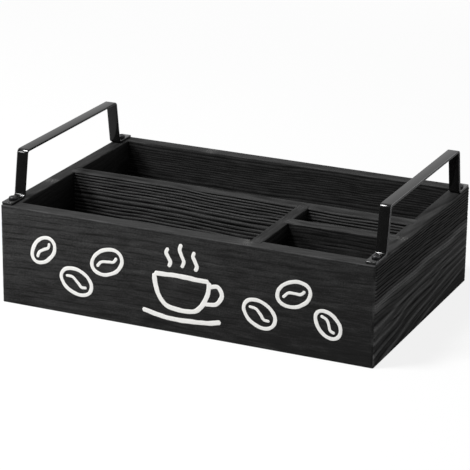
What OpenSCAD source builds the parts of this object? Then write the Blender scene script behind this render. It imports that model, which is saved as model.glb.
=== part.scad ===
// Coffee station organizer: an open wooden box with mitred corners, three
// housed dividers and two bent steel strap handles screwed to its end boards.
// Millimetres. X runs along the front, Y from front to back, Z up.
// The origin is the centre of the footprint, on the surface it stands on.

/* [Box] */
// Length of the box along the front
box_l = 340; // [280:1:420]
// Depth of the box from front to back
box_w = 225; // [200:1:280]
// Height of the box boards
box_h = 87.5; // [70:0.5:120]
// Thickness of the four outer boards
wall_t = 13.5; // [11:0.5:16]
// Rounding of the upright corners
corner_r = 3; // [1:0.5:5]
// Rounding of the outer upper edges
rim_r = 2; // [0.5:0.25:3]
// Rounding of the inner upper edges and of the dividers' edges
inner_r = 0.8; // [0.25:0.05:1.5]
// Rounding of the outer lower edges
foot_r = 1; // [0.25:0.25:2]

/* [Base] */
// Thickness of the base panel
base_t = 6; // [4:0.5:9]
// Height of the base panel's underside above the table
base_rise = 5; // [3:0.5:10]
// Depth of the groove that holds the base panel
groove_d = 5; // [3:0.5:6]
// Room left round the base panel in its groove
groove_play = 0.4; // [0.2:0.1:0.8]

/* [Dividers] */
// Thickness of the long divider
long_t = 13; // [9:0.5:16]
// Distance of the long divider's middle behind the box's middle
long_y = 1; // [-15:0.5:15]
// Thickness of the short divider
short_t = 10.5; // [8:0.5:14]
// Distance of the short divider's middle right of the box's middle
short_x = 61.5; // [20:0.5:80]
// Thickness of the small divider
small_t = 11.5; // [8:0.5:14]
// Distance of the small divider's middle in front of the box's middle
small_y = 42.2; // [36:0.2:50]
// Depth of the housings that hold the dividers' ends
housing_d = 4; // [2:0.5:4.5]

/* [Handles] */
// Width of the steel strap
strap_w = 10; // [8:0.5:11]
// Thickness of the steel strap
strap_t = 2; // [1.5:0.25:3]
// Inner radius of the strap's bends
bend_r = 2; // [1:0.25:4]
// Height of the bar's upper face above the box
handle_h = 41; // [32:0.5:60]
// How far each leg leans in between the box and the bar
leg_lean = 6.7; // [0:0.1:12]
// Length of each foot outside its leg
foot_l = 21.5; // [18:0.1:30]
// Distance of each foot's tip from the face of the front or back board
tip_gap = 2; // [0.5:0.1:4]
// Rounding of the foot's corners
tip_r = 1; // [0.5:0.25:3]
// Distance of the strap from the box's outer face
strap_inset = 0.5; // [0:0.1:1]

/* [Screws] */
// Diameter of the screw head
head_d = 7; // [5.5:0.25:8]
// Height of the screw head
head_h = 2.6; // [1.8:0.1:3.2]
// Diameter of the screw's shank
shank_d = 3.5; // [2.5:0.25:4.5]
// Length of the screw under its head
screw_l = 18; // [12:1:30]
// Room round the shank in the foot's hole
hole_play = 0.5; // [0.2:0.1:1]
// Distance of the screw from the foot's tip
screw_in = 10.6; // [8.5:0.1:11]
// Span of the cross recess
recess_w = 4; // [3:0.25:5]

/* [Hidden] */
$fn = 64;
eps = 0.01;

// Box: the faces that the other pieces take their places from
inner_x = box_l / 2 - wall_t;
inner_y = box_w / 2 - wall_t;
floor_z = base_rise + base_t;
housing_h = box_h - floor_z;

// Dividers: their faces
long_front = long_y - long_t / 2;
short_right = short_x + short_t / 2;

// Handles: the strap's middle line as a polyline, from the front foot's tip
// over the bar to the back foot's tip
bar_z = box_h + handle_h;
tip_y = box_w / 2 - tip_gap;
leg_foot_y = tip_y - foot_l;
mid_r = bend_r + strap_t / 2;
leg_tilt = atan(leg_lean / handle_h);
leg_shift = strap_t / 2 / cos(leg_tilt);
function leg_y(z) = leg_foot_y - (z - box_h) * tan(leg_tilt) - leg_shift;
foot_mid_z = box_h + strap_t / 2;
bar_mid_z = bar_z - strap_t / 2;
strap_line = [
    [-tip_y, foot_mid_z],
    [-leg_y(foot_mid_z), foot_mid_z],
    [-leg_y(bar_mid_z), bar_mid_z],
    [leg_y(bar_mid_z), bar_mid_z],
    [leg_y(foot_mid_z), foot_mid_z],
    [tip_y, foot_mid_z]
];
corner_reach = 1.1;
strap_x = box_l / 2 - strap_inset - strap_w / 2;
screw_y = tip_y - screw_in;
hole_d = shank_d + hole_play;

// Screws: shares of the head and shank that every pan head screw has
head_edge_r = 0.45 * head_h;
point_l = shank_d;
point_d = 0.4;
recess_t = 0.24 * recess_w;
recess_d = 0.5 * head_h;

wood = [0.16, 0.16, 0.17];
steel = [0.08, 0.08, 0.09];
screw_black = [0.12, 0.12, 0.13];

// Boards

// A board's cross-section, standing on y = 0 with its outer face at x = 0
module board_section(thick, height, outer_top, inner_top, outer_foot) {
    difference() {
        square([thick, height]);
        translate([-eps, height - outer_top])
            square([outer_top + eps, outer_top + eps]);
        translate([thick - inner_top, height - inner_top])
            square([inner_top + eps, inner_top + eps]);
        translate([-eps, -eps])
            square([outer_foot + eps, outer_foot + eps]);
    }
    translate([outer_top, height - outer_top])
        circle(outer_top);
    translate([thick - inner_top, height - inner_top])
        circle(inner_top);
    if (outer_foot > 0)
        translate([outer_foot, outer_foot])
            circle(outer_foot);
}

// The footprint of one board whose ends are mitred, outer face on y = -reach / 2
module mitred_plan(run, reach) {
    intersection() {
        polygon([
            [-run / 2, -reach / 2],
            [run / 2, -reach / 2],
            [run / 2 - wall_t, -reach / 2 + wall_t],
            [-run / 2 + wall_t, -reach / 2 + wall_t]
        ]);
        union() {
            translate([-run / 2 + corner_r, -reach / 2])
                square([run - 2 * corner_r, wall_t]);
            translate([-run / 2, -reach / 2 + corner_r])
                square([run, wall_t]);
            for (side = [-1, 1])
                translate([side * (run / 2 - corner_r), -reach / 2 + corner_r])
                    circle(corner_r);
        }
    }
}

// One outer board of the box with mitred ends and the groove for the base
module outer_board(run, reach) {
    difference() {
        intersection() {
            linear_extrude(box_h)
                mitred_plan(run, reach);
            translate([-run / 2, -reach / 2, 0])
                rotate([90, 0, 90])
                    linear_extrude(run)
                        board_section(wall_t, box_h, rim_r, inner_r, foot_r);
        }
        translate([-run / 2 + wall_t - groove_d, -reach / 2 + wall_t - groove_d, base_rise])
            cube([run - 2 * (wall_t - groove_d), groove_d + eps, base_t]);
    }
}

// A divider along X with both long upper edges rounded
module divider_board(run, thick) {
    translate([-run / 2, -thick / 2, 0])
        rotate([90, 0, 90])
            linear_extrude(run)
                board_section(thick, housing_h, inner_r, inner_r, 0);
}

// The blind housing that takes a divider's end, cut into the face at y = 0
module housing(thick) {
    translate([-thick / 2, -housing_d, floor_z])
        cube([thick, housing_d + eps, housing_h + eps]);
}

module front_board() {
    color(wood)
        difference() {
            outer_board(box_l, box_w);
            translate([short_x, -inner_y, 0])
                housing(short_t);
        }
}

module back_board() {
    color(wood)
        rotate([0, 0, 180])
            outer_board(box_l, box_w);
}

module left_side_board() {
    color(wood)
        difference() {
            rotate([0, 0, -90])
                outer_board(box_w, box_l);
            translate([-inner_x, long_y, 0])
                rotate([0, 0, -90])
                    housing(long_t);
            side_pilots(-1);
        }
}

module right_side_board() {
    color(wood)
        difference() {
            rotate([0, 0, 90])
                outer_board(box_w, box_l);
            translate([inner_x, long_y, 0])
                rotate([0, 0, 90])
                    housing(long_t);
            translate([inner_x, -small_y, 0])
                rotate([0, 0, 90])
                    housing(small_t);
            side_pilots(1);
        }
}

// The two pilot holes that one end board has for its handle's screws
module side_pilots(side) {
    for (end = [-1, 1])
        translate([side * strap_x, end * screw_y, box_h + strap_t])
            screw_shank();
}

module base_panel() {
    reach = groove_d - groove_play;
    color(wood)
        translate([-inner_x - reach, -inner_y - reach, base_rise])
            cube([2 * (inner_x + reach), 2 * (inner_y + reach), base_t]);
}

// Dividers

module long_divider() {
    color(wood)
        difference() {
            translate([0, long_y, floor_z])
                divider_board(2 * (inner_x + housing_d), long_t);
            translate([short_x, long_front, 0])
                rotate([0, 0, 180])
                    housing(short_t);
        }
}

module short_divider() {
    front_end = -inner_y - housing_d;
    back_end = long_front + housing_d;
    color(wood)
        difference() {
            translate([short_x, (front_end + back_end) / 2, floor_z])
                rotate([0, 0, 90])
                    divider_board(back_end - front_end, short_t);
            translate([short_right, -small_y, 0])
                rotate([0, 0, -90])
                    housing(small_t);
        }
}

module small_divider() {
    left_end = short_right - housing_d;
    right_end = inner_x + housing_d;
    color(wood)
        translate([(left_end + right_end) / 2, -small_y, floor_z])
            divider_board(right_end - left_end, small_t);
}

// Handles

// Unit vector along v
function unit(v) = v / norm(v);

// Unit vector square to the run from a to b, on its left
function left_of(a, b) = let (d = unit(b - a)) [-d[1], d[0]];

// Half of the turn between the runs with left normals a and b
function half_turn(a, b) = acos(a * b) / 2;

// 1 where the line turns left between those runs, -1 where it turns right
function turn_side(a, b) = sign(a[0] * b[1] - a[1] * b[0]);

// Middle of the bend at point i of the line p
function bend_middle(p, i, mid) =
    let (a = left_of(p[i - 1], p[i]))
    let (b = left_of(p[i], p[i + 1]))
    p[i] + mid / cos(half_turn(a, b)) * turn_side(a, b) * unit(a + b);

// The strap's edge at a bend: a sharp corner on the outside, and on the
// inside the corner filled up to the bend's middle, ready for its round cut
function bend_edge(p, i, mid, shift) =
    let (a = left_of(p[i - 1], p[i]))
    let (b = left_of(p[i], p[i + 1]))
    let (side = turn_side(a, b))
    let (middle = bend_middle(p, i, mid))
    let (inner = side * (mid - abs(shift)))
    side * shift > 0
        ? [middle - inner * a, middle, middle - inner * b]
        : [p[i] + shift / cos(half_turn(a, b)) * unit(a + b)];

// One whole edge of the strap, at a distance from its line p
function strap_edge(p, mid, shift) = [
    p[0] + shift * left_of(p[0], p[1]),
    for (i = [1 : len(p) - 2]) each bend_edge(p, i, mid, shift),
    p[len(p) - 1] + shift * left_of(p[len(p) - 2], p[len(p) - 1])
];

// The same points in the opposite order
function reversed(p) = [for (i = [len(p) - 1 : -1 : 0]) p[i]];

// What lies between the sharp outer corner of a bend and its arc of radius r,
// cut a little past the corner
module corner_rest(p, i, mid, r) {
    n1 = left_of(p[i - 1], p[i]);
    n2 = left_of(p[i], p[i + 1]);
    side = turn_side(n1, n2);
    beyond = corner_reach * r / cos(half_turn(n1, n2));
    middle = bend_middle(p, i, mid);
    difference() {
        polygon([
            middle,
            middle - side * r * n1,
            middle - side * beyond * unit(n1 + n2),
            middle - side * r * n2
        ]);
        translate(middle)
            circle(r);
    }
}

// A flat strap seen edge on, bent along the line p with true round bends
module bent_profile(p, mid, thick) {
    left = strap_edge(p, mid, thick / 2);
    right = strap_edge(p, mid, -thick / 2);
    difference() {
        polygon(concat(left, reversed(right)));
        for (i = [1 : len(p) - 2]) {
            corner_rest(p, i, mid, mid + thick / 2);
            translate(bend_middle(p, i, mid))
                circle(mid - thick / 2);
        }
    }
}

// The strap's outline from above, with rounded tips
module strap_plan() {
    translate([-strap_w / 2, -tip_y + tip_r])
        square([strap_w, 2 * (tip_y - tip_r)]);
    translate([-strap_w / 2 + tip_r, -tip_y])
        square([strap_w - 2 * tip_r, 2 * tip_y]);
    for (side = [-1, 1], end = [-1, 1])
        translate([side * (strap_w / 2 - tip_r), end * (tip_y - tip_r)])
            circle(tip_r);
}

module handle(side) {
    color(steel)
        translate([side * strap_x, 0, 0])
            difference() {
                intersection() {
                    translate([-strap_w / 2, 0, 0])
                        rotate([90, 0, 90])
                            linear_extrude(strap_w)
                                bent_profile(strap_line, mid_r, strap_t);
                    translate([0, 0, box_h])
                        linear_extrude(handle_h)
                            strap_plan();
                }
                for (end = [-1, 1])
                    translate([0, end * screw_y, box_h - eps])
                        cylinder(h = strap_t + 2 * eps, d = hole_d);
            }
}

module left_handle() {
    handle(-1);
}

module right_handle() {
    handle(1);
}

// Screws

// Shank and point of a wood screw, downwards from the underside of its head
module screw_shank() {
    translate([0, 0, -screw_l + point_l])
        cylinder(h = screw_l - point_l, d = shank_d);
    translate([0, 0, -screw_l])
        cylinder(h = point_l, d1 = point_d, d2 = shank_d);
}

// Domed head with a cross recess, upwards from its underside
module screw_head() {
    difference() {
        rotate_extrude() {
            square([head_d / 2, head_h - head_edge_r]);
            square([head_d / 2 - head_edge_r, head_h]);
            translate([head_d / 2 - head_edge_r, head_h - head_edge_r])
                intersection() {
                    circle(head_edge_r);
                    square(head_edge_r);
                }
        }
        for (angle = [0, 90])
            rotate([0, 0, angle])
                translate([-recess_w / 2, -recess_t / 2, head_h - recess_d])
                    cube([recess_w, recess_t, recess_d + eps]);
    }
}

module handle_screws() {
    color(screw_black)
        for (side = [-1, 1], end = [-1, 1])
            translate([side * strap_x, end * screw_y, box_h + strap_t]) {
                screw_shank();
                screw_head();
            }
}

front_board();
back_board();
left_side_board();
right_side_board();
base_panel();
long_divider();
short_divider();
small_divider();
left_handle();
right_handle();
handle_screws();
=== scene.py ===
import math
import random
from dataclasses import dataclass
from functools import partial

import bmesh
import bpy
import numpy as np
from bpy.props import FloatProperty, FloatVectorProperty, IntProperty, PointerProperty
from mathutils import Matrix, Vector


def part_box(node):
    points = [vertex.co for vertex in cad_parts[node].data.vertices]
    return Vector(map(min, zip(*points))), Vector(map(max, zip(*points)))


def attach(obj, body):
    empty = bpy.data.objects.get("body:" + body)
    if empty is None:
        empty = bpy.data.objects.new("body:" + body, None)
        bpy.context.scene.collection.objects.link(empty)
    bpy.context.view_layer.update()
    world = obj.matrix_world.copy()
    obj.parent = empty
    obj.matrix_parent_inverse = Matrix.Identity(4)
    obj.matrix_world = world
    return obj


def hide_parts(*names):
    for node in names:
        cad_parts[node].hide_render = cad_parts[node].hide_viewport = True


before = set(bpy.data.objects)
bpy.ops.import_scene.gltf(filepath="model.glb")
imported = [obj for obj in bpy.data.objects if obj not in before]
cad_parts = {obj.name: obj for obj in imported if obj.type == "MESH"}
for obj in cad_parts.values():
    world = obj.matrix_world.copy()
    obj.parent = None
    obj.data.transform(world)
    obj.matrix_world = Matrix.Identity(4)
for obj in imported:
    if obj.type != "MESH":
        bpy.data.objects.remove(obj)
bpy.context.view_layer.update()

bl_info = {
    "name": "Coffee station organizer",
    "version": (1, 0, 0),
    "blender": (4, 5, 0),
    "location": "3D View > Sidebar > Organizer",
    "description": "Brushed wooden organizer box with bent strap handles",
    "category": "Add Mesh",
}

MM = 0.001


def node_box(node):
    """Lowest and highest corner of a CAD node, in millimetres."""
    low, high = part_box(node)
    return np.array(low) / MM, np.array(high) / MM


# Box, read from the frame, in millimetres
FRONT_LOW, FRONT_HIGH = node_box("front_board")
BASE_LOW, BASE_HIGH = node_box("base_panel")
BOX_L = -2 * node_box("left_side_board")[0][0]
BOX_W = -2 * FRONT_LOW[1]
BOX_H = FRONT_HIGH[2]
WALL_T = FRONT_HIGH[1] - FRONT_LOW[1]
FLOOR_Z = BASE_HIGH[2]
BASE_Z = BASE_LOW[2]
INNER_X = BOX_L / 2 - WALL_T
HOUSING_D = node_box("long_divider")[1][0] - INNER_X
GROOVE_D = 5.0

# Rounding of the boards' edges, in millimetres
CORNER_R = 3.0
RIM_R = 2.0
INNER_R = 0.8
FOOT_R = 1.0

# Share of the brushed relief on rounded edges and on the rims
EDGE_RELIEF = 0.6
RIM_RELIEF = 0.45

# How far the wood stays behind its CAD face, which is more under the paint
MARGIN = 0.02
FRONT_MARGIN = 0.16

# Mesh step on faces without relief, and how much wider the steps on the rims are
PLAIN_STEP = 20
RIM_STEP = 1.6


# Settings


def hex_linear(code):
    """Linear colour of an sRGB hex value such as '#1c1c1c'."""
    parts = [int(code[k:k + 2], 16) / 255 for k in (1, 3, 5)]
    return [c / 12.92 if c <= 0.04045 else ((c + 0.055) / 1.055) ** 2.4 for c in parts]


def colour(name, description, code):
    """A colour setting, from an sRGB hex value."""
    return FloatVectorProperty(
        name=name, description=description, subtype="COLOR", size=3, min=0, max=1, default=hex_linear(code))


def length(name, description, value, low, high):
    """A length setting with its range, given in millimetres."""
    return FloatProperty(
        name=name, description=description, subtype="DISTANCE", unit="LENGTH",
        default=value * MM, min=low * MM, max=high * MM)


def power(name, description, watts):
    """The power setting of a lamp."""
    return FloatProperty(name=name, description=description, unit="POWER", default=watts, min=0, max=500)


class WoodSettings(bpy.types.PropertyGroup):
    # Painted shade: the grooves' colour is darker stain with painted shade in it
    groove_stain_and_shade: colour("Stain in the grooves", "Colour of the stain in the brushed out grain", "#070707")
    stain_mid: colour("Stain on the face", "Colour of the stain on the boards' faces", "#171717")
    stain_light: colour("Stain on hard grain", "Colour where hard grain shows through the stain", "#636363")
    groove_depth: length("Brushed depth", "Depth of the soft grain that the wire brush took out", 0.42, 0, 1)
    row_step: length("Mesh step across the grain", "Distance of the mesh rows across the grain", 0.45, 0.2, 3)
    station_step: length("Mesh step along the grain", "Distance of the mesh rows along the grain", 2.5, 1, 20)


class HandleSettings(bpy.types.PropertyGroup):
    enamel: colour("Enamel", "Colour of the handles' black enamel", "#0a0a0a")
    foot_length: length("Foot length", "Length of each foot outside its leg", 21.5, 10, 30)
    leg_lean: length("Lean", "How far each leg leans in between the box and the bar", 6.7, 0, 15)
    bend_radius: length("Bend radius", "Inner radius of the strap's bends", 2, 1, 5)
    strap_thickness: length("Strap thickness", "Thickness of the steel strap", 2, 1, 4)
    edge_round: length("Edge rounding", "Rounding of the strap's rolled edges", 0.4, 0.1, 0.9)


class ScrewSettings(bpy.types.PropertyGroup):
    black: colour("Screw black", "Colour of the screws' black finish", "#272728")
    tip_distance: length("Distance from the tip", "Distance of each screw from its foot's tip", 10.6, 5, 15)
    sides: IntProperty(name="Sides", description="Faces round the screw heads", default=48, min=12, max=96)


class MotifSettings(bpy.types.PropertyGroup):
    paint: colour("Paint", "Colour of the painted lines on the front", "#e7e6e3")
    line_width: length("Line width", "Width of the widest painted lines", 4.2, 1, 8)
    paint_height: length("Paint thickness", "Height of the paint above the wood", 0.12, 0.02, 0.3)


class StageSettings(bpy.types.PropertyGroup):
    floor: colour("Floor", "Colour of the floor and the backdrop", "#dadada")
    key_power: power("Top light", "Power of the large light above the table", 78)
    side_power: power("Side light", "Power of the low light on the right", 4)
    back_power: power("Back light", "Power of the low light behind the box", 7)
    fill_power: power("Fill light", "Power of the small light in front on the left", 3)


# Materials

# What many nodes have in common
COLOUR_MIX = {"data_type": "RGBA", "out": "Result"}
TIMES_PLUS = {"operation": "MULTIPLY_ADD"}
CLAMPED = {"operation": "MULTIPLY_ADD", "use_clamp": True}


def add_node(tree, kind, *places, out=0, **named):
    """Adds a node and gives one of its outputs. Inputs come in order or by their
    capitalised name, each a socket to link or a value, and settings by their
    lower case name."""
    node = tree.nodes.new("ShaderNode" + kind)
    inputs = dict(enumerate(places))
    for key, value in named.items():
        if key[0].isupper():
            inputs[key.replace("_", " ")] = value
        else:
            setattr(node, key, value)
    for key, value in inputs.items():
        socket = node.inputs[key]
        if isinstance(value, bpy.types.NodeSocket):
            tree.links.new(value, socket)
        else:
            socket.default_value = value
    return node.outputs[out] if node.outputs else node


def rgba(shade, share=1.0):
    """A colour times a share, with full alpha."""
    return (*(share * part for part in shade), 1.0)


def new_material(name):
    """A material, and the function that adds nodes to it."""
    material = bpy.data.materials.new(name)
    material.use_nodes = True
    material.node_tree.nodes.clear()
    return material, partial(add_node, material.node_tree)


def finish_material(material, **inputs):
    """Closes a material with its surface and output."""
    surface = add_node(material.node_tree, "BsdfPrincipled", **inputs)
    add_node(material.node_tree, "OutputMaterial", Surface=surface)
    return material


def brushed_black_pine(name, along, sets):
    """Black-stained pine that was wire brushed: dull charcoal, darker in the
    brushed out grain from stain and painted shade, greyer on hard grain and where
    edges were rubbed, with painted highlights on rounded edges and corners and
    painted light that makes lit boards lighter and shaded ones darker."""
    material, add = new_material(name)
    place = add("TexCoord", out="Object")
    turn = (0, 0, math.pi / 2) if along == "Y" else (0, 0, 0)
    level = add("Mapping", Vector=place, Rotation=turn)
    # Fibres 0.8 mm wide and about 16 mm long, stain patches of 5 by 18 mm, grit of 0.9 mm
    fibre_at = add("Mapping", Vector=level, Scale=(1 / 16, 1 / 0.8, 1 / 0.8))
    patch_at = add("Mapping", Vector=level, Scale=(1 / 18, 1 / 5, 1 / 5))
    fibre = add("TexNoise", Vector=fibre_at, Scale=1 / MM, Detail=3, Roughness=0.6)
    patch = add("TexNoise", Vector=patch_at, Scale=1 / MM, Detail=3, Roughness=0.55, Distortion=0.6)
    grit = add("TexNoise", Vector=level, Scale=1 / (0.9 * MM), Detail=2, Roughness=0.7)
    hollow, streak, rub, speck = (
        add("Attribute", attribute_name=key, out="Fac") for key in ("hollow", "streak", "rub", "speck"))
    # How light the stain is, 0 to 1, painted highlights and the painted light of lit and shaded boards
    # included
    light = -0.28
    for source, share in ((fibre, 0.34), (patch, 0.26), (streak, 0.55), (rub, 0.11)):
        light = add("Math", source, share, light, **TIMES_PLUS)
    grain = add("Math", grit, 0.5, operation="SUBTRACT")
    coarse = add("Math", streak, 1.7, 0.3, **TIMES_PLUS)
    light = add("Math", grain, coarse, light, **CLAMPED)
    tint = add("Mix", Factor=light, A=rgba(sets.stain_mid), B=rgba(sets.stain_light), **COLOUR_MIX)
    # Painted shade with the darker stain in the brushed out grain
    dark = add("Math", hollow, 1.5, -0.12, **CLAMPED)
    tint = add("Mix", Factor=dark, A=tint, B=rgba(sets.groove_stain_and_shade), **COLOUR_MIX)
    spots = add("Math", speck, grit, operation="MULTIPLY")
    spots = add("Math", spots, 9, -4.9, **CLAMPED)
    tint = add("Mix", Factor=spots, A=tint, B=rgba(hex_linear("#7b7a78")), **COLOUR_MIX)
    rough = add("Math", fibre, 0.22, 0.5, **TIMES_PLUS)
    rough = add("Math", hollow, 0.25, rough, **TIMES_PLUS)
    gloss = add("Math", dark, -0.17, 0.18, **TIMES_PLUS)
    height = add("Math", grit, 0.35, fibre, **TIMES_PLUS)
    bump = add("Bump", Strength=0.55, Distance=0.12 * MM, Height=height)
    return finish_material(
        material, Base_Color=tint, Roughness=rough, IOR=1.46, Specular_IOR_Level=gloss, Normal=bump)


def satin_black_enamel(sets, edge_x):
    """Stove enamel on hot rolled steel strap: black, satin, with a faint orange
    peel that breaks up the highlights, small dust marks, and painted highlight
    lines along the long edges that look away from the box, which lie at edge_x and -edge_x."""
    material, add = new_material("satin_black_enamel_on_strap_steel")
    place = add("TexCoord", out="Object")
    # Orange peel of 1.4 mm and dust marks of 6 mm
    peel = add("TexNoise", Vector=place, Scale=1 / (1.4 * MM), Detail=2, Roughness=0.5)
    dust = add("TexNoise", Vector=place, Scale=1 / (6 * MM), Detail=4, Roughness=0.65)
    # Painted highlight: a light line 0.35 mm in from the edge, which fades over 0.3 mm
    across = add("SeparateXYZ", Vector=place, out="X")
    across = add("Math", across, operation="ABSOLUTE")
    off_line = add("Math", across, edge_x - 0.35 * MM, operation="SUBTRACT")
    off_line = add("Math", off_line, operation="ABSOLUTE")
    thin = add("Math", off_line, -1 / (0.3 * MM), 1.05, **CLAMPED)
    patchy = add("Math", dust, 1.2, -0.1, **TIMES_PLUS)
    thin = add("Math", thin, patchy, operation="MULTIPLY", use_clamp=True)
    tint = add("Mix", Factor=dust, A=rgba(sets.enamel), B=rgba(sets.enamel, 1.9), **COLOUR_MIX)
    # Painted highlight: light grey on the lines along the edges, in patches
    tint = add("Mix", Factor=thin, A=tint, B=rgba(hex_linear("#929294")), **COLOUR_MIX)
    rough = add("Math", dust, 0.1, 0.09, **TIMES_PLUS)
    bump = add("Bump", Strength=0.09, Distance=0.03 * MM, Height=peel)
    return finish_material(material, Base_Color=tint, Roughness=rough, IOR=1.5, Normal=bump)


def black_oxide_steel(sets):
    """Black oxide on steel screws: dark grey, a little shiny, with driver marks
    0.5 mm wide."""
    material, add = new_material("black_oxide_screw_steel")
    place = add("TexCoord", out="Object")
    marks = add("TexNoise", Vector=place, Scale=1 / (0.5 * MM), Detail=3, Roughness=0.6)
    tint = add("Mix", Factor=marks, A=rgba(sets.black), B=rgba(sets.black, 3.2), **COLOUR_MIX)
    rough = add("Math", marks, 0.25, 0.26, **TIMES_PLUS)
    bump = add("Bump", Strength=0.3, Distance=0.02 * MM, Height=marks)
    return finish_material(material, Base_Color=tint, Metallic=0.6, Roughness=rough, Normal=bump)


def white_acrylic_paint(sets):
    """Matt white acrylic from a brush: chalky, with faint bristle lines and a
    little of the black wood in its thin spots."""
    material, add = new_material("matt_white_acrylic_paint")
    place = add("TexCoord", out="Object")
    # Bristle lines 0.5 mm wide and 3 mm long, and thin spots of 1.6 mm
    flat = add("Mapping", Vector=place, Scale=(1 / 3, 1, 1 / 0.5))
    bristle = add("TexNoise", Vector=flat, Scale=1 / MM, Detail=3, Roughness=0.6)
    thin = add("TexNoise", Vector=place, Scale=1 / (1.6 * MM), Detail=4, Roughness=0.7)
    gap = add("Math", thin, 5, -3.1, **CLAMPED)
    line = add("Math", bristle, 0.12, operation="MULTIPLY")
    tint = add("Mix", Factor=gap, A=rgba(sets.paint), B=rgba(sets.paint, 0.55), **COLOUR_MIX)
    tint = add("Mix", Factor=line, A=tint, B=rgba(sets.paint, 0.8), **COLOUR_MIX)
    bump = add("Bump", Strength=0.5, Distance=0.05 * MM, Height=bristle)
    return finish_material(material, Base_Color=tint, Roughness=0.75, Normal=bump)


# Pieces


def finish_piece(piece, material, slot, *nodes):
    """Gives a piece its finish, its body and the CAD nodes it stands for, which it
    hides. The slot is not used."""
    piece.data.materials.clear()
    piece.data.materials.append(material)
    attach(piece, "root")
    if nodes:
        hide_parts(*nodes)


def new_piece(name, data):
    """An object with that mesh, light or camera, in the scene."""
    piece = bpy.data.objects.new(name, data)
    bpy.context.scene.collection.objects.link(piece)
    return piece


def only(kind, geom):
    """The parts of one kind among those that a bmesh operator gives back."""
    return [part for part in geom if isinstance(part, kind)]


def to_mesh(bm, name):
    """A new mesh from a bmesh, which is freed."""
    mesh = bpy.data.meshes.new(name)
    bm.to_mesh(mesh)
    bm.free()
    return mesh


def shade(mesh, sharp_degrees):
    """Shades a mesh smooth, with its sharper edges kept."""
    mesh.shade_smooth()
    mesh.set_sharp_from_angle(angle=math.radians(sharp_degrees))
    return mesh


def close_mesh(bm, mesh, sharp_degrees):
    """Merges doubles, closes open ends, turns the faces outwards and shades."""
    bmesh.ops.remove_doubles(bm, verts=bm.verts, dist=0.002 * MM)
    open_edges = [e for e in bm.edges if e.is_boundary]
    if open_edges:
        bmesh.ops.holes_fill(bm, edges=open_edges, sides=0)
    bmesh.ops.recalc_face_normals(bm, faces=bm.faces)
    bm.to_mesh(mesh)
    bm.free()
    return shade(mesh, sharp_degrees)


def cut_away(piece, cutter, crossed=False):
    """Takes the cutter's shape out of a piece and removes the cutter, whose own
    parts may be crossed."""
    cut = piece.modifiers.new("cut", "BOOLEAN")
    cut.operation = "DIFFERENCE"
    cut.solver = "EXACT"
    cut.use_self = crossed
    cut.object = cutter
    bpy.context.view_layer.update()
    graph = bpy.context.evaluated_depsgraph_get()
    mesh = bpy.data.meshes.new_from_object(piece.evaluated_get(graph))
    piece.modifiers.clear()
    old = piece.data
    piece.data = mesh
    mesh.name = piece.name
    bpy.data.meshes.remove(old)
    bpy.data.objects.remove(cutter)


# Grain

# Year rings that are drawn, how many of them lie below number 0, and the place of
# the soft wood within a ring
RING_COUNT = 400
RINGS_BELOW = 100
SOFT_AT = 0.25


@dataclass
class Cut:
    """How a board was sawn from its log and brushed, in millimetres: u runs along
    the board, v up it and w in from its outer face."""
    seed: int
    # The log's middle as (v, w), and how it climbs in v and in w along u
    pith: tuple
    lean: float
    taper: float
    # Width of a ring, and shares for the grooves' depth and the pale streaks
    ring: float
    depth: float
    streaks: float
    # How light the stain is, partly painted light on lit and shaded boards, and how much the grooves break up
    tone: float
    broken: float
    # Painted light: change of the tone along u and up v
    slope: float = 0.0
    rise: float = 0.0
    # How much the lines wander, how wide grooves are, how much the rings' tones differ
    wander: float = 1.0
    groove: float = 1.0
    uneven: float = 0.0
    # Below the height fan_v: how the lines fan out, and the shares of the rings'
    # width and of the grooves' depth
    fan: float = 0.0
    fan_v: float = 0.0
    widen: float = 1.0
    soft: float = 1.0
    # Broad pale streaks as (height, half width, strength)
    bands: tuple = ()


def waves(along, seed, sizes):
    """A smooth wandering value: sines of given lengths and swings."""
    draw = random.Random(seed)
    total = np.zeros_like(along)
    for size, swing in sizes:
        total += swing * np.sin(2 * math.pi * along / size + draw.uniform(0, 2 * math.pi))
    return total


def ripple(u, v, seed, length_u, length_v, count=7):
    """A smooth uneven field over a board's face, about -1 to 1."""
    draw = random.Random(seed)
    total = np.zeros_like(u)
    for _ in range(count):
        turn_u = draw.choice((-1, 1)) * draw.uniform(0.5, 1.6) / length_u
        turn_v = draw.uniform(0.5, 1.6) / length_v
        total += np.sin(2 * math.pi * (u * turn_u + v * turn_v) + draw.uniform(0, 2 * math.pi))
    return total / math.sqrt(count)


def growth(u, v, w, cut):
    """Height of the growth lines, distance from the log's middle, width of the
    rings and ring number at points of a board."""
    middle_v = cut.pith[0] + cut.lean * u
    middle_v = middle_v + cut.wander * waves(u, cut.seed, ((260, 1.3), (103, 0.5), (41, 0.15)))
    middle_w = cut.pith[1] + cut.taper * u + waves(u, cut.seed + 1, ((300, 1.2), (130, 0.5)))
    v = v + np.minimum(v - cut.fan_v, 0) * cut.fan * u
    reach = np.hypot(v - middle_v, w - middle_w)
    reach += 0.28 * cut.wander * ripple(u, v, cut.seed + 2, 90, 34)
    crowd = waves(reach, cut.seed + 3, ((31, 1.2), (13, 0.3)))
    wider = np.minimum(v - cut.fan_v, 0) * (1 - 1 / cut.widen)
    ring = np.where(v < cut.fan_v, cut.ring * cut.widen, cut.ring)
    level = v + 1.6 * cut.wander * ripple(u, v, cut.seed + 9, 120, 60)
    return level, reach, ring, (reach + crowd - wider) / cut.ring


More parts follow.
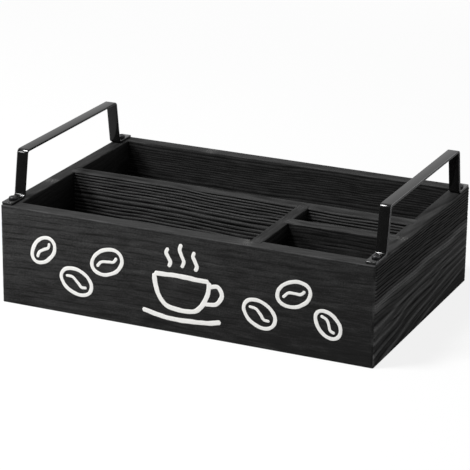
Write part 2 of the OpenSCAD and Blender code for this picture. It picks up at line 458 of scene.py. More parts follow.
def brushed(u, v, w, cut):
    """How deep the brush went, 0 to 1, and how light the stain shows: hard grain, the board's tone and
    painted light.
    """
    level, reach, ring, rings = growth(u, v, w, cut)
    year = np.floor(rings)
    part = rings - year
    draw = np.random.default_rng(cut.seed)
    depth_of = draw.uniform(1 - 0.65 * cut.broken, 1.0, RING_COUNT)
    width_of = draw.uniform(0.34, 0.50, RING_COUNT)
    second_of = draw.uniform(-0.3, 0.55, RING_COUNT)
    light_of = draw.uniform(-1, 1, RING_COUNT)
    index = np.clip(year.astype(int) + RINGS_BELOW, 0, RING_COUNT - 1)
    # Each ring has a steep groove that runs out slowly, and some have a second one
    fade = 1 - cut.broken * np.clip(0.35 + 0.5 * ripple(u, rings * 9.0, cut.seed + 5, 46, 30), 0, 0.9)
    lead = (part - SOFT_AT) * ring / (cut.groove * width_of[index])
    after = np.exp(-np.where(lead < 0, lead, lead / 1.8) ** 2)
    second = np.exp(-((part - SOFT_AT - 0.5) * ring / 0.35) ** 2)
    hollow = fade * np.maximum(depth_of[index] * after, second_of[index] * second)
    scratch = np.clip(ripple(u, rings * 22.0, cut.seed + 6, 30, 18), 0, 1)
    hollow += 0.25 * cut.broken * scratch * (part > 0.4)
    # Hard grain shows in soft streaks, and in the bands of the cut
    streak = np.clip(waves(reach, cut.seed + 7, ((17, 0.55), (9.5, 0.45))), 0, 1) ** 1.5
    streak = streak * np.clip(0.7 + 0.5 * ripple(u, v, cut.seed + 8, 80, 60), 0, 1) * cut.streaks
    hollow *= 1 - (1 - cut.soft) * np.clip((cut.fan_v - level) / 6, 0, 1)
    for place, half, strength in cut.bands:
        band = strength * np.exp(-((level - place) / half) ** 2)
        streak = np.maximum(streak, band)
        hollow = hollow * (1 - 0.7 * np.clip(band, 0, 1))
    # Painted light: the board's tone is lighter on lit boards and darker on shaded ones, and the gradient
    # along u and up v is painted light
    tone = cut.tone + cut.slope * u + cut.rise * (v - BOX_H / 2) + cut.uneven * light_of[index]
    return np.clip(hollow, 0, 1), np.clip(tone + streak, -0.4, 1.4) * (1 - hollow)


# Boards


def line_rows(start, end, step, relief):
    """Rows along a straight side of a section that runs clockwise, without its
    end: depth from the outer face, height, outward direction and relief."""
    start, end = np.array(start, float), np.array(end, float)
    run = end - start
    reach = float(np.hypot(*run))
    count = max(1, round(reach / step))
    return [(*(start + run * k / count), -run[1] / reach, run[0] / reach, relief) for k in range(count)]


def arc_rows(centre, radius, first, last, count):
    """Rows round a rounded edge of a section, without its end."""
    rows = []
    for k in range(count):
        angle = math.radians(first + (last - first) * k / count)
        out = (math.cos(angle), math.sin(angle))
        rows.append((centre[0] + radius * out[0], centre[1] + radius * out[1], *out, EDGE_RELIEF))
    return rows


def upper_rows(thick, foot, floor, radius, count, step):
    """Rows from a board's outer foot over its rim and down to the floor."""
    h = BOX_H
    return (line_rows((0, foot), (0, h - radius), step, 1)
            + arc_rows((radius, h - radius), radius, 180, 90, count)
            + line_rows((radius, h), (thick - INNER_R, h), step * RIM_STEP, RIM_RELIEF)
            + arc_rows((thick - INNER_R, h - INNER_R), INNER_R, 90, 0, 4)
            + line_rows((thick, h - INNER_R), (thick, floor), step, 1))


def outer_section(step):
    """Rows round an outer board's section, with the base panel's groove."""
    t, groove = WALL_T, WALL_T - GROOVE_D
    rows = upper_rows(t, FOOT_R, FLOOR_Z, RIM_R, 7, step)
    corners = ((t, FLOOR_Z), (groove, FLOOR_Z), (groove, BASE_Z), (t, BASE_Z), (t, 0), (FOOT_R, 0))
    for start, end in zip(corners, corners[1:]):
        rows += line_rows(start, end, PLAIN_STEP, 0)
    foot = np.array(arc_rows((FOOT_R, FOOT_R), FOOT_R, 270, 180, 4))
    foot[:, 4] = 0
    return np.vstack((rows, foot))


def divider_section(thick, low, step):
    """Rows round a divider's section, from one face's foot over the top."""
    rows = upper_rows(thick, low, low, INNER_R, 4, step)
    return np.array(rows + line_rows((thick, low), (0, low), PLAIN_STEP, 0))


def panel_section(wide, low, high, step):
    """Rows round the base panel's section, with the relief on its upper face."""
    rows = line_rows((0, low), (0, high), PLAIN_STEP, 0)
    rows += line_rows((0, high), (wide, high), step, 1)
    rows += line_rows((wide, high), (wide, low), PLAIN_STEP, 0)
    rows += line_rows((wide, low), (0, low), PLAIN_STEP, 0)
    return np.array(rows)


def stations_for(half, step, housings, corner):
    """Places of the mesh rows along a board: even ones, close ones round the
    upright corners, and one on each side of each housing's walls."""
    count = max(2, round(2 * half / step))
    places = list(np.linspace(-half, half, count + 1))
    if corner:
        close = [half - corner * (1 - math.sin(math.radians(angle))) for angle in range(0, 46, 9)]
        places += close + [-p for p in close]
    for centre, thick in housings:
        for side in (-1, 1):
            wall = centre + side * thick / 2
            places = [p for p in places if abs(p - wall) > 0.3]
            places += [wall - 0.01, wall + 0.01]
    return np.array(sorted(set(round(p, 4) for p in places)))


def wrapped_grid(name, stations, rows):
    """A grid to wrap round a board, and the station and row of each vertex."""
    bm = bmesh.new()
    bmesh.ops.create_grid(bm, x_segments=stations - 1, y_segments=rows, size=1)
    mesh = to_mesh(bm, name)
    flat = np.zeros(len(mesh.vertices) * 3, np.float32)
    mesh.vertices.foreach_get("co", flat)
    flat = (flat.reshape(-1, 3) + 1) / 2
    station = np.rint(flat[:, 0] * (stations - 1)).astype(int)
    return mesh, station, np.rint(flat[:, 1] * rows).astype(int) % rows


def stained_pine(along, sets):
    """The black-stained pine whose grain runs along X or along Y."""
    way = "X" if along[0] else "Y"
    name = "black_stained_brushed_pine_along_" + way
    return bpy.data.materials.get(name) or brushed_black_pine(name, way, sets)


def plank(node, rows, half, housings, thick, origin, along, inward, sets,
          margin=MARGIN, mitred=False, joints=()):
    """Makes one board with its brushed relief. rows is its section, half its
    half length, housings the (place, width) of those in its inner face, and
    origin, along and inward place it. joints are the places where its rim is
    rubbed. A grid is wrapped round the section and closed at both ends."""
    name = "brushed_" + node
    cut = CUTS[node]
    places = stations_for(half, sets.station_step / MM, housings, CORNER_R if mitred else 0)
    mesh, station, row = wrapped_grid(name, len(places), len(rows))
    a, z, out_a, out_z, relief = rows[row].T
    # Ends, which are square, or mitred with a rounded corner
    corner_share = CORNER_R * (1 - math.cos(math.radians(45)))
    end = half - np.maximum(a, corner_share) if mitred else np.full_like(a, half)
    u = np.clip(places[station], -end, end)
    if mitred:
        past = np.clip(np.abs(u) - (half - CORNER_R), 0, CORNER_R)
        a = np.maximum(a, CORNER_R - np.sqrt(CORNER_R ** 2 - past ** 2))
    for centre, wide in housings:
        within = (np.abs(u - centre) < wide / 2) & (a > thick - HOUSING_D) & (z > FLOOR_Z - 0.01)
        a = np.where(within, thick - HOUSING_D, a)
        relief = np.where(within, 0, relief)
    # Brushed relief
    # The second value holds the hard grain's lightness with the board's tone, which is partly painted light
    hollow, streak = brushed(u, z, a, cut)
    streak = np.where(relief == 1, streak, 0.5 * np.minimum(streak, 0.16))
    depth = sets.groove_depth / MM * cut.depth
    sink = np.where(relief > 0, margin, 0) + relief * depth * hollow
    a = a - out_a * sink
    z = z - out_z * sink
    world = np.array(origin, float) + np.outer(u, along) + np.outer(a, inward) + np.outer(z, (0, 0, 1))
    mesh.vertices.foreach_set("co", (world * MM).astype(np.float32).ravel())
    # Rubbed stain on the rim and at joints, and painted highlight lines, in patches, on the upright corners
    # and on the rounded edges
    high = np.clip((z - (BOX_H - 1.2)) / 0.8, 0, 1) * (rows[:, 1].max() > BOX_H - 1)
    rub = high * np.clip(0.75 + 0.35 * ripple(u, a * 3, cut.seed + 11, 35, 20), 0.2, 1)
    if mitred:
        # Painted highlight: a light line down each rounded upright corner, broken into patches
        corner = np.clip((np.abs(u) - half + CORNER_R) / 1.5, 0, 1) * (a < 2.5) * (relief > 0)
        rub += 2.4 * corner * np.clip(0.3 + ripple(0 * u, z, cut.seed + 12, 50, 40), 0, 1)
    # Painted highlight: a light line along each rounded edge, where the section's outward direction lies near
    # 45 degrees
    edge_highlight = np.clip(1 - np.abs(out_a ** 2 - out_z ** 2) / 0.6, 0, 1) * (relief > 0)
    rub += 2.2 * edge_highlight * np.clip(0.25 + ripple(u, 0 * u, cut.seed + 13, 60, 40), 0, 1)
    speck = np.zeros_like(z)
    for place in joints:
        near = np.clip(1.4 * np.exp(-((u - place) / 7.0) ** 2), 0, 1) * high
        rub = rub + 2.0 * near * np.clip(0.5 + ripple(u, a * 2, cut.seed + 14, 9, 6), 0, 1)
        speck = np.maximum(speck, near * mitred)
    # Painted shade with the darker stain: how dark the grooves are painted, tied to their depth
    dark = hollow * relief * min(1, 1.25 * cut.depth)
    marks = {"hollow": dark, "streak": streak, "rub": rub, "speck": speck}
    for key, value in marks.items():
        layer = mesh.attributes.new(key, "FLOAT", "POINT")
        layer.data.foreach_set("value", np.asarray(value, np.float32))
    bm = bmesh.new()
    bm.from_mesh(mesh)
    board = new_piece(name, close_mesh(bm, mesh, 35))
    finish_piece(board, stained_pine(along, sets), "stained_wood", node)


# Cuts of the boards, as the grain on each face shows them; their tones are partly painted light, and so is
# the front's gradient
CUTS = {
    "front_board": Cut(11, (-150, -58), 0.004, 0.05, 5.0, 0.2, 0.16, 0.11, 0.6, slope=-0.0007, rise=0.0022),
    "back_board": Cut(23, (-90, 30), 0.004, 0.02, 2.4, 0.5, 0.16, 0.24, 0.35, wander=0.6),
    "left_side_board": Cut(37, (30, -40), 0.0, 0.05, 3.2, 0.4, 0.12, -0.08, 0.6, wander=0.6),
    "right_side_board": Cut(
        41, (-60, -30), -0.02, -0.03, 2.75, 1.0, 0.25, 0.05, 0.35,
        wander=0.45, fan=0.0032, fan_v=50, widen=1.8, soft=0.6,
        bands=((53, 4.0, 0.95), (39, 1.4, 0.8), (34, 0.7, 0.6), (30, 1.2, 0.85),
               (23, 1.0, 0.7), (15, 1.7, 0.95), (9, 0.7, 0.6), (3, 1.6, 0.95))),
    "long_divider": Cut(
        53, (-75, 40), -0.012, 0.02, 3.1, 1.0, 0.5, 1.3, 0.35, wander=0.5, groove=1.45, uneven=0.35),
    "short_divider": Cut(67, (-60, -20), 0.01, 0.02, 3.4, 0.6, 0.2, -0.35, 0.6),
    "small_divider": Cut(71, (-80, -45), 0.01, 0.02, 3.6, 0.6, 0.3, 0.1, 0.6),
    "base_panel": Cut(83, (-160, -30), 0.02, 0.05, 4.4, 0.4, 0.3, 0.0, 0.8),
}


def housing_for(node, axis):
    """Middle and width along an axis of the housing that holds a divider's end."""
    low, high = node_box(node)
    return (low[axis] + high[axis]) / 2, high[axis] - low[axis]


class OuterBoards(bpy.types.Operator):
    """Makes the four mitred outer boards with their brushed grain"""
    bl_idname = "organizer.outer_boards"
    bl_label = "Outer boards"

    def execute(self, context):
        sets = context.scene.organizer_wood
        rows = outer_section(sets.row_step / MM)
        long_at = housing_for("long_divider", 1)
        short_at = housing_for("short_divider", 0)
        small_at = housing_for("small_divider", 1)
        half_x, half_y = BOX_L / 2, BOX_W / 2
        # Node, half length, housings, origin, directions along and inward, place of rubbed stain
        boards = (
            ("front_board", half_x, [short_at], (0, -half_y, 0), (1, 0, 0), (0, 1, 0), short_at[0] - 6),
            ("back_board", half_x, [], (0, half_y, 0), (1, 0, 0), (0, -1, 0), -75),
            ("left_side_board", half_y, [long_at], (-half_x, 0, 0), (0, 1, 0), (1, 0, 0), long_at[0] - 37),
            ("right_side_board", half_y, [long_at, small_at],
             (half_x, 0, 0), (0, 1, 0), (-1, 0, 0), small_at[0]),
        )
        for node, half, housings, origin, along, inward, rubbed in boards:
            margin = FRONT_MARGIN if node == "front_board" else MARGIN
            plank(node, rows, half, housings, WALL_T, origin, along, inward, sets, margin, True, [rubbed])
        return {"FINISHED"}


class Dividers(bpy.types.Operator):
    """Makes the long, the short and the small divider"""
    bl_idname = "organizer.dividers"
    bl_label = "Dividers"

    def execute(self, context):
        sets = context.scene.organizer_wood
        # Each divider, the axis it runs along, and the divider that it holds
        dividers = (("long_divider", 0, "short_divider"), ("short_divider", 1, "small_divider"),
                    ("small_divider", 0, None))
        for node, axis, held in dividers:
            low, high = node_box(node)
            thick = high[1 - axis] - low[1 - axis]
            middle = (low[axis] + high[axis]) / 2
            half = (high[axis] - low[axis]) / 2
            housings = []
            if held:
                place, wide = housing_for(held, axis)
                housings = [(place - middle, wide)]
            # The rim is rubbed at each housing and 4 mm from each end
            joints = [place for place, _ in housings] + [4 - half, half - 4]
            if axis == 0:
                origin, along, inward = (middle, high[1], 0), (1, 0, 0), (0, -1, 0)
            else:
                origin, along, inward = (low[0], middle, 0), (0, 1, 0), (1, 0, 0)
            rows = divider_section(thick, low[2], sets.row_step / MM)
            plank(node, rows, half, housings, thick, origin, along, inward, sets, joints=joints)
        return {"FINISHED"}


class BasePanel(bpy.types.Operator):
    """Makes the base panel that lies in the boards' grooves"""
    bl_idname = "organizer.base_panel"
    bl_label = "Base panel"

    def execute(self, context):
        sets = context.scene.organizer_wood
        long, wide, _ = BASE_HIGH - BASE_LOW
        rows = panel_section(wide, BASE_Z, FLOOR_Z, 3 * sets.row_step / MM)
        plank("base_panel", rows, long / 2, [], wide, (0, BASE_LOW[1], 0), (1, 0, 0), (0, 1, 0), sets)
        return {"FINISHED"}


# Handles

# Rounding of the feet's corners and radius of their holes, in millimetres
TIP_R = 1.0
HOLE_R = 2.0
BEVEL = {"offset_type": "OFFSET", "profile": 0.5, "affect": "EDGES", "material": -1}


def bent_strap(node, sets):
    """The strap as a bench makes it: a flat end pulled along the foot, turned
    up, pulled along the leg, turned over the bar, and so on to the other tip."""
    low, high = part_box(node)
    t, r = sets.strap_thickness, sets.bend_radius
    rise = high.z - low.z
    tilt = math.atan(sets.leg_lean / rise)
    turn = math.pi / 2 - tilt
    middle = r + t / 2
    tangent = middle * math.tan(turn / 2)
    leg_out = high.y - sets.foot_length
    shift = t / 2 / math.cos(tilt)
    foot_y = leg_out - t / 2 * math.tan(tilt) - shift
    bar_y = leg_out - (rise - t / 2) * math.tan(tilt) - shift
    leg_run = (rise - t) / math.cos(tilt) - 2 * tangent
    bm = bmesh.new()
    bmesh.ops.create_grid(bm, x_segments=1, y_segments=1, size=0.5)
    bmesh.ops.scale(bm, vec=(high.x - low.x, t, 1), verts=bm.verts)
    bmesh.ops.rotate(bm, cent=(0, 0, 0), matrix=Matrix.Rotation(math.pi / 2, 3, "X"), verts=bm.verts)
    bmesh.ops.translate(bm, vec=((low.x + high.x) / 2, low.y, low.z + t / 2), verts=bm.verts)
    end = bm.faces[:]
    heading = 0.0

    def pull(run):
        """Pulls the strap's end straight on."""
        nonlocal end
        grown = bmesh.ops.extrude_face_region(bm, geom=end)["geom"]
        step = Vector((0, math.cos(heading), math.sin(heading))) * run
        bmesh.ops.translate(bm, vec=step, verts=only(bmesh.types.BMVert, grown))
        end = only(bmesh.types.BMFace, grown)

    def bend(angle):
        """Turns the strap's end up (+) or down (-) round its bend."""
        nonlocal end, heading
        side = 1 if angle > 0 else -1
        up = Vector((0, -math.sin(heading), math.cos(heading)))
        centre = end[0].calc_center_median() + up * side * middle
        spun = bmesh.ops.spin(
            bm, geom=end, cent=centre, axis=(1, 0, 0), angle=angle, steps=12, space=Matrix())
        end = only(bmesh.types.BMFace, spun["geom_last"])
        heading += angle

    pull(-foot_y - tangent - low.y)
    bend(turn)
    pull(leg_run)
    bend(-turn)
    pull(2 * (bar_y - tangent))
    bend(-turn)
    pull(leg_run)
    bend(turn)
    pull(high.y - foot_y - tangent)
    bmesh.ops.remove_doubles(bm, verts=bm.verts, dist=0.01 * MM)
    inner = [f for f in bm.faces if all(len(e.link_faces) > 2 for e in f.edges)]
    bmesh.ops.delete(bm, geom=inner, context="FACES")
    bmesh.ops.recalc_face_normals(bm, faces=bm.faces)
    # The upright edges at the two tips, and then every sharp edge
    tips = [e for e in bm.edges if abs(e.verts[0].co.z - e.verts[1].co.z) > 0.9 * t
            and abs(e.verts[0].co.y - e.verts[1].co.y) < 1e-6
            and min(abs(e.verts[0].co.y - low.y), abs(e.verts[0].co.y - high.y)) < 1e-5]
    bmesh.ops.bevel(bm, geom=tips, offset=TIP_R * MM, segments=5, **BEVEL)
    hard = [e for e in bm.edges if len(e.link_faces) == 2 and e.calc_face_angle(0) > math.radians(50)]
    bmesh.ops.bevel(bm, geom=hard, offset=sets.edge_round, segments=3, **BEVEL)
    return bm


def screw_places(node, context):
    """Middles of a handle's two screws, at the underside of its feet."""
    low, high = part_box(node)
    tip = context.scene.organizer_screws.tip_distance
    return [Vector(((low.x + high.x) / 2, y, low.z)) for y in (low.y + tip, high.y - tip)]


class Handles(bpy.types.Operator):
    """Bends the two steel strap handles and drills their feet"""
    bl_idname = "organizer.handles"
    bl_label = "Handles"

    def execute(self, context):
        sets = context.scene.organizer_handles
        thick = sets.strap_thickness
        enamel = satin_black_enamel(sets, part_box("right_handle")[1].x)
        for node in ("left_handle", "right_handle"):
            name = "bent_" + node
            strap = new_piece(name, close_mesh(bent_strap(node, sets), bpy.data.meshes.new(name), 40))
            bm = bmesh.new()
            for place in screw_places(node, context):
                at = Matrix.Translation(place + Vector((0, 0, thick / 2)))
                bmesh.ops.create_cone(bm, cap_ends=True, segments=32, radius1=HOLE_R * MM,
                                      radius2=HOLE_R * MM, depth=4 * thick, matrix=at)
            cut_away(strap, new_piece("foot_holes", to_mesh(bm, "foot_holes")))
            shade(strap.data, 40)
            finish_piece(strap, enamel, "black_strap_steel", node)
        return {"FINISHED"}


# Screws, in millimetres

HEAD_R = 3.5
HEAD_H = 2.6
HEAD_EDGE_R = 1.05
CROWN_H = 0.22
SHANK_R = 1.75
PLAIN_L = 4.0
SCREW_L = 18.0
POINT_L = 3.2
THREAD_PITCH = 1.3
THREAD_D = 0.45


def screw_profile():
    """Half outline of a pan head wood screw from its top, as (radius, height)."""
    outline = [(0.0, HEAD_H), (1.2, HEAD_H - 0.03), (2.0, HEAD_H - 0.12)]
    for angle in range(75, -1, -15):
        x = HEAD_EDGE_R * math.cos(math.radians(angle))
        z = HEAD_EDGE_R * math.sin(math.radians(angle))
        outline.append((HEAD_R - HEAD_EDGE_R + x, HEAD_H - CROWN_H - HEAD_EDGE_R + z))
    outline += [(HEAD_R, 0.25), (HEAD_R - 0.15, 0.0), (SHANK_R, 0.0), (SHANK_R, -PLAIN_L)]
    z = -PLAIN_L
    while z > POINT_L - SCREW_L:
        outline += [(SHANK_R - THREAD_D, z - 0.25), (SHANK_R - THREAD_D, z - 0.65),
                    (SHANK_R, z - 0.95), (SHANK_R, z - 1.05)]
        z -= THREAD_PITCH
    return outline + [(SHANK_R - 0.5, z - 0.3), (0.2, 0.2 - SCREW_L), (0.0, -SCREW_L)]


def screw_mesh(name, sides):
    """A screw spun from its outline, its head's underside at z = 0."""
    bm = bmesh.new()
    last = None
    for radius, height in screw_profile():
        vert = bm.verts.new((radius * MM, 0, height * MM))
        if last:
            bm.edges.new((last, vert))
        last = vert
    bmesh.ops.spin(bm, geom=bm.verts[:] + bm.edges[:], cent=(0, 0, 0), axis=(0, 0, 1),
                   angle=2 * math.pi, steps=sides, use_merge=True)
    return close_mesh(bm, bpy.data.meshes.new(name), 50)


def cross_cutter(name):
    """The driver's cross: two tapered blades and a point."""
    bm = bmesh.new()
    for turn in (0, math.pi / 2):
        blade = bmesh.ops.create_cube(bm, size=1)["verts"]
        bmesh.ops.scale(bm, vec=(4.1 * MM, 0.95 * MM, 2.2 * MM), verts=blade)
        for v in blade:
            if v.co.z < 0:
                v.co.x *= 0.45
                v.co.y *= 0.7
        bmesh.ops.translate(bm, vec=(0, 0, (HEAD_H - 0.4) * MM), verts=blade)
        bmesh.ops.rotate(bm, cent=(0, 0, 0), matrix=Matrix.Rotation(turn, 3, "Z"), verts=blade)
    bmesh.ops.create_cone(bm, cap_ends=True, segments=16, radius1=0.55 * MM, radius2=1.05 * MM,
                          depth=2.6 * MM, matrix=Matrix.Translation((0, 0, (HEAD_H - 0.6) * MM)))
    return to_mesh(bm, name)


class HandleScrews(bpy.types.Operator):
    """Turns the four pan head screws that hold the handles' feet"""
    bl_idname = "organizer.handle_screws"
    bl_label = "Handle screws"

    def execute(self, context):
        sets = context.scene.organizer_screws
        thick = context.scene.organizer_handles.strap_thickness
        single = new_piece("one_screw", screw_mesh("one_screw", sets.sides))
        cut_away(single, new_piece("driver_cross", cross_cutter("driver_cross")), True)
        # Each screw stopped at another angle
        turns = (17, 62, 38, 5)
        places = screw_places("left_handle", context) + screw_places("right_handle", context)
        bm = bmesh.new()
        for place, turn in zip(places, turns):
            before = len(bm.verts)
            bm.from_mesh(single.data)
            at = Matrix.Translation(place + Vector((0, 0, thick)))
            spin = Matrix.Rotation(math.radians(turn), 4, "Z")
            bmesh.ops.transform(bm, matrix=at @ spin, verts=bm.verts[:][before:])
        bpy.data.objects.remove(single)
        screws = new_piece("pan_head_screws", close_mesh(bm, bpy.data.meshes.new("pan_head_screws"), 40))
        finish_piece(screws, black_oxide_steel(sets), "black_screw_steel", "handle_screws")
        return {"FINISHED"}


# Painted motif

# Distance of the points along a line, faces across it, and how far it reaches into
# the wood, in millimetres
LINE_STEP = 0.8
LINE_FACES = 8
LINE_ROOT = 0.45


def smooth_path(points, closed):
    """Points at even steps on a smooth curve through the given ones, and how far
    along it they lie."""
    pts = np.array(points, float)
    count = len(pts)
    fine = []
    for k in range(count if closed else count - 1):
        near = [n % count if closed else min(max(n, 0), count - 1) for n in range(k - 1, k + 3)]
        p0, p1, p2, p3 = pts[near]
        for s in np.linspace(0, 1, 24, endpoint=False):
            fine.append(0.5 * (2 * p1 + (p2 - p0) * s + (2 * p0 - 5 * p1 + 4 * p2 - p3) * s ** 2
                               + (3 * p1 - p0 - 3 * p2 + p3) * s ** 3))
    fine.append(pts[0] if closed else pts[-1])
    fine = np.array(fine)
    reach = np.concatenate(([0], np.cumsum(np.hypot(*np.diff(fine, axis=0).T))))
    total = reach[-1]
    at = np.linspace(0, total, max(4, round(total / LINE_STEP)) + 1)
    return np.stack([np.interp(at, reach, fine[:, k]) for k in (0, 1)], 1), at


def bean(x, z, wide, high, lean):
    """A coffee bean: a loop and its bent middle line."""
    c, s = math.cos(math.radians(lean)), math.sin(math.radians(lean))

    def turned(points):
        """Points turned by the bean's lean and set in their place."""
        return [(x + px * c - pz * s, z + px * s + pz * c) for px, pz in points]

    loop = [(wide / 2 * math.cos(k * math.pi / 6), high / 2 * math.sin(k * math.pi / 6)) for k in range(12)]
    seam = [(-wide * 0.36, -high * 0.02), (-wide * 0.15, high * 0.09), (wide * 0.05, 0),
            (wide * 0.2, -high * 0.09), (wide * 0.36, high * 0.02)]
    return [(turned(loop), True, 0.78), (turned(seam), False, 0.62)]


def steam(x, low, high, swing):
    """One wavy line of steam."""
    points = [(x + swing * math.sin(k * math.pi / 2), low + (high - low) * k / 4) for k in range(5)]
    return points, False, 0.8


def motif_lines():
    """The painted lines on the front, in millimetres on its face: each with its
    points, whether it closes, and its share of the full line width."""
    cup = [(-25, 50), (-23.5, 38), (-18, 27), (-9, 21.5), (9, 21.5), (18, 27), (23.5, 38), (25, 50)]
    rim = [(-25, 50), (-10, 50.6), (10, 50.2), (25, 50)]
    ear = [(24, 45), (33, 46.5), (36.5, 39), (31, 31.5), (20.5, 30)]
    saucer = [(-36, 16.5), (-20, 13.2), (0, 12.2), (20, 13.2), (36, 16.5)]
    lines = [
        (cup, False, 1), (rim, False, 1), (ear, False, 0.9), (saucer, False, 1),
        steam(-12, 57, 74, 1.8), steam(0, 58, 79, 2.0), steam(12, 57, 74, 1.8),
    ]
    # Place, width, height and lean of each bean
    beans = ((-69, 52, 30, 21, 28), (-98, 30, 30, 21, -24), (-129, 53, 26, 18, 50),
             (70, 30, 30, 21, -30), (100, 52, 30, 21, 22), (130, 31, 26, 18, -48))
    for sizes in beans:
        lines += bean(*sizes)
    return lines


def painted_line(bm, points, closed, width, seed, sets):
    """Adds one painted line to bm: a strip with round ends, a little uneven,
    that follows the wood's relief under it."""
    path, at = smooth_path(points, closed)
    ends = np.minimum(at, at[-1] - at)
    sway = [waves(at, seed, ((37, 0.22), (11, 0.08))), waves(at, seed + 1, ((41, 0.22), (13, 0.08)))]
    path = path + np.stack(sway, 1) * np.clip(ends / 6, 0, 1)[:, None]
    ahead = np.gradient(path, axis=0)
    if closed:
        ahead[0] = ahead[-1] = path[1] - path[-2]
    ahead /= np.hypot(*ahead.T)[:, None]
    side = np.stack([-ahead[:, 1], ahead[:, 0]], 1)
    half = width / 2 * (1 + waves(at, seed + 2, ((29, 0.05), (9, 0.03))))
    if closed:
        half[-1] = half[0]
    else:
        left = np.clip(ends / half, 0, 1)
        half = half * np.sqrt(np.clip(1 - (1 - left) ** 2, 0, 1))
    grid = bmesh.new()
    bmesh.ops.create_grid(grid, x_segments=len(path) - 1, y_segments=LINE_FACES, size=1)
    for v in grid.verts:
        i = round((v.co.x + 1) / 2 * (len(path) - 1))
        q = round((v.co.y + 1) / 2 * LINE_FACES) / LINE_FACES * 2 - 1
        spot = path[i] + side[i] * half[i] * q
        bead = (1 - abs(q) ** 5) * min(1.0, half[i] / (0.3 * width))
        v.co = (spot[0], bead, spot[1])
    # The bead's height becomes a depth on the brushed front board
    co = np.array([v.co for v in grid.verts])
    cut = CUTS["front_board"]
    hollow, _ = brushed(co[:, 0], co[:, 2], np.zeros(len(co)), cut)
    face = -BOX_W / 2 + FRONT_MARGIN
    wood = hollow * cut.depth * bpy.context.scene.organizer_wood.groove_depth / MM
    paint = sets.paint_height / MM
    top = face + 0.55 * wood - paint * co[:, 1] + 0.02 * (1 - co[:, 1])
    for v, y in zip(grid.verts, top):
        v.co = (v.co.x * MM, y * MM, v.co.z * MM)
    bmesh.ops.remove_doubles(grid, verts=grid.verts, dist=0.002 * MM)
    grown = bmesh.ops.extrude_face_region(grid, geom=grid.faces[:], use_keep_orig=True)["geom"]
    bmesh.ops.translate(grid, vec=(0, LINE_ROOT * MM, 0), verts=only(bmesh.types.BMVert, grown))
    bmesh.ops.recalc_face_normals(grid, faces=grid.faces)
    part = to_mesh(grid, "line")
    bm.from_mesh(part)
    bpy.data.meshes.remove(part)


class PaintedMotif(bpy.types.Operator):
    """Paints the white line motif on the front board"""
    bl_idname = "organizer.painted_motif"
    bl_label = "Painted motif"

    def execute(self, context):
        sets = context.scene.organizer_motif
        bm = bmesh.new()
        for number, (points, closed, share) in enumerate(motif_lines()):
            painted_line(bm, points, closed, share * sets.line_width / MM, 900 + 7 * number, sets)
        motif = new_piece("painted_motif", shade(to_mesh(bm, "painted_motif"), 60))
        finish_piece(motif, white_acrylic_paint(sets), "white_chalk_paint")
        return {"FINISHED"}


# Stage, in metres and degrees

FLOOR_R = 1.4
# Each lamp's place, the point it faces, its size and the setting of its power
LAMPS = {
    "top_light": ((-1.0, -0.8, 2.45), (0, 0, 0), (0.62, 0.62), "key_power"),
    "side_light": ((1.6, -0.1, 0.16), (0, 0, 0.05), (1.0, 0.24), "side_power"),
    "fill_light": ((-0.6, -0.7, 0.5), (0, 0, 0.05), (0.26, 0.26), "fill_power"),
    "back_light": ((-0.3, 1.5, 0.045), (0, 0.1, 0.045), (1.1, 0.07), "back_power"),
}
CAMERA_AT = (0.7546, -1.6776, 0.7009)
CAMERA_YAW = 24.305
CAMERA_PITCH = 19.453
CAMERA_ROLL = 0.665
CAMERA_LENS = 173.4


def soft_light(name, at, towards, size, watts):
    """A soft rectangular light at a point, facing another."""
    data = bpy.data.lights.new(name, "AREA")
    data.shape = "RECTANGLE"
    data.size, data.size_y = size
    data.energy = watts
    lamp = new_piece(name, data)
    lamp.location = at
    lamp.rotation_euler = (Vector(towards) - Vector(at)).to_track_quat("-Z", "Y").to_euler()
    return lamp


def seen_rays(add):
    """The kinds of ray, and 1 for those of the camera and through glass."""
    rays = add("LightPath").node.outputs
    return rays, add("Math", rays["Is Camera Ray"], rays["Is Transmission Ray"], operation="MAXIMUM")


def white_paper_sweep(sets):
    """Matt white paper: seen white, with a soft shadow under the box."""
    material, add = new_material("white_paper_sweep")
    rays, seen = seen_rays(add)
    floor = rgba(sets.floor)
    tint = add("Mix", Factor=rays["Is Glossy Ray"], A=floor, B=rgba(sets.floor, 0.45), **COLOUR_MIX)
    paper = add("BsdfPrincipled", Base_Color=tint, Roughness=0.9, Specular_IOR_Level=0)
    white = add("Emission", Color=(1, 1, 1, 1), Strength=1.04)
    share = add("Math", seen, 0.82, operation="MULTIPLY")
    add("OutputMaterial", Surface=add("MixShader", share, paper, white))
    return material


def white_studio():
    """A world that the camera sees white. Gloss sees the white backdrop behind
    the table and the dim room in front of it."""
    world = bpy.data.worlds.new("white_studio")
    world.use_nodes = True
    world.node_tree.nodes.clear()
    add = partial(add_node, world.node_tree)
    rays, seen = seen_rays(add)
    way = add("TexCoord", out="Generated")
    back = add("SeparateXYZ", Vector=way, out="Y")
    back = add("Math", back, 2, 0.35, **CLAMPED)
    room = add("Math", back, 0.55, 0.06, **TIMES_PLUS)
    gloss = add("Math", rays["Is Glossy Ray"], room, operation="MULTIPLY")
    spread = add("Math", rays["Is Diffuse Ray"], 0.2, operation="MULTIPLY")
    for other in (gloss, spread):
        seen = add("Math", seen, other, operation="MAXIMUM")
    add("OutputWorld", Surface=add("Background", Color=(1, 1, 1, 1), Strength=seen))
    return world


def photo_camera():
    """The camera at the photograph's viewing angle."""
    data = bpy.data.cameras.new("camera")
    data.lens = CAMERA_LENS
    data.sensor_width = 36
    data.clip_end = 50
    camera = new_piece("camera", data)
    camera.location = CAMERA_AT
    turns = ((CAMERA_YAW, "Z"), (90 - CAMERA_PITCH, "X"), (CAMERA_ROLL, "Z"))
    yaw, pitch, roll = (Matrix.Rotation(math.radians(angle), 3, axis) for angle, axis in turns)
    camera.rotation_euler = (yaw @ pitch @ roll).to_euler()
    return camera


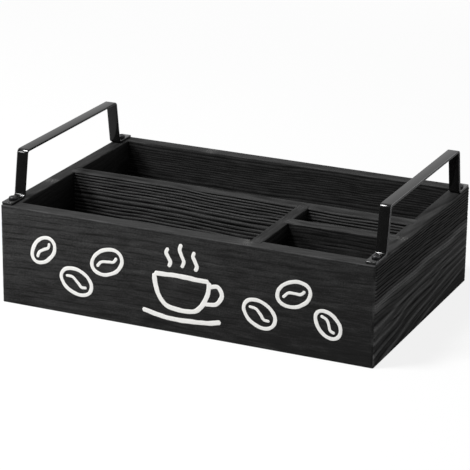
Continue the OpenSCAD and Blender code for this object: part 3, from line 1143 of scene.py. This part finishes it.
class Stage(bpy.types.Operator):
    """Sets up the pale floor, the soft lights, the white surroundings and the camera"""
    bl_idname = "organizer.stage"
    bl_label = "Stage"

    def execute(self, context):
        scene = context.scene
        sets = scene.organizer_stage
        bm = bmesh.new()
        bmesh.ops.create_circle(bm, cap_ends=True, segments=96, radius=FLOOR_R)
        floor = new_piece("floor", to_mesh(bm, "floor"))
        floor.data.materials.append(white_paper_sweep(sets))
        scene.world = white_studio()
        for name, (at, towards, size, setting) in LAMPS.items():
            lamp = soft_light(name, at, towards, size, getattr(sets, setting))
            # The back light's gloss would brighten the rims
            lamp.visible_glossy = name != "back_light"
        scene.camera = photo_camera()
        scene.view_settings.view_transform = "Standard"
        return {"FINISHED"}


class OrganizerPanel(bpy.types.Panel):
    """Lists the organizer's pieces and their settings"""
    bl_idname = "VIEW3D_PT_organizer"
    bl_label = "Coffee station organizer"
    bl_space_type = "VIEW_3D"
    bl_region_type = "UI"
    bl_category = "Organizer"

    def draw(self, context):
        for operator in OPERATORS:
            self.layout.operator(operator.bl_idname)
        for name, _ in SETTINGS:
            box = self.layout.box()
            group = getattr(context.scene, name)
            for prop in group.bl_rna.properties:
                if not prop.is_readonly and prop.identifier != "name":
                    box.prop(group, prop.identifier)


SETTINGS = (
    ("organizer_wood", WoodSettings),
    ("organizer_handles", HandleSettings),
    ("organizer_screws", ScrewSettings),
    ("organizer_motif", MotifSettings),
    ("organizer_stage", StageSettings),
)
OPERATORS = (Stage, OuterBoards, BasePanel, Dividers, Handles, HandleScrews, PaintedMotif)


def register():
    """Registers the settings, the operators and the panel."""
    for name, group in SETTINGS:
        bpy.utils.register_class(group)
        setattr(bpy.types.Scene, name, PointerProperty(type=group))
    for kind in (*OPERATORS, OrganizerPanel):
        bpy.utils.register_class(kind)


def unregister():
    """Takes them all out again."""
    for kind in (OrganizerPanel, *reversed(OPERATORS)):
        bpy.utils.unregister_class(kind)
    for name, group in reversed(SETTINGS):
        delattr(bpy.types.Scene, name)
        bpy.utils.unregister_class(group)


def main():
    """Builds the whole scene."""
    register()
    for operator in OPERATORS:
        group, name = operator.bl_idname.split(".")
        getattr(getattr(bpy.ops, group), name)()


if __name__ == "__main__":
    main()
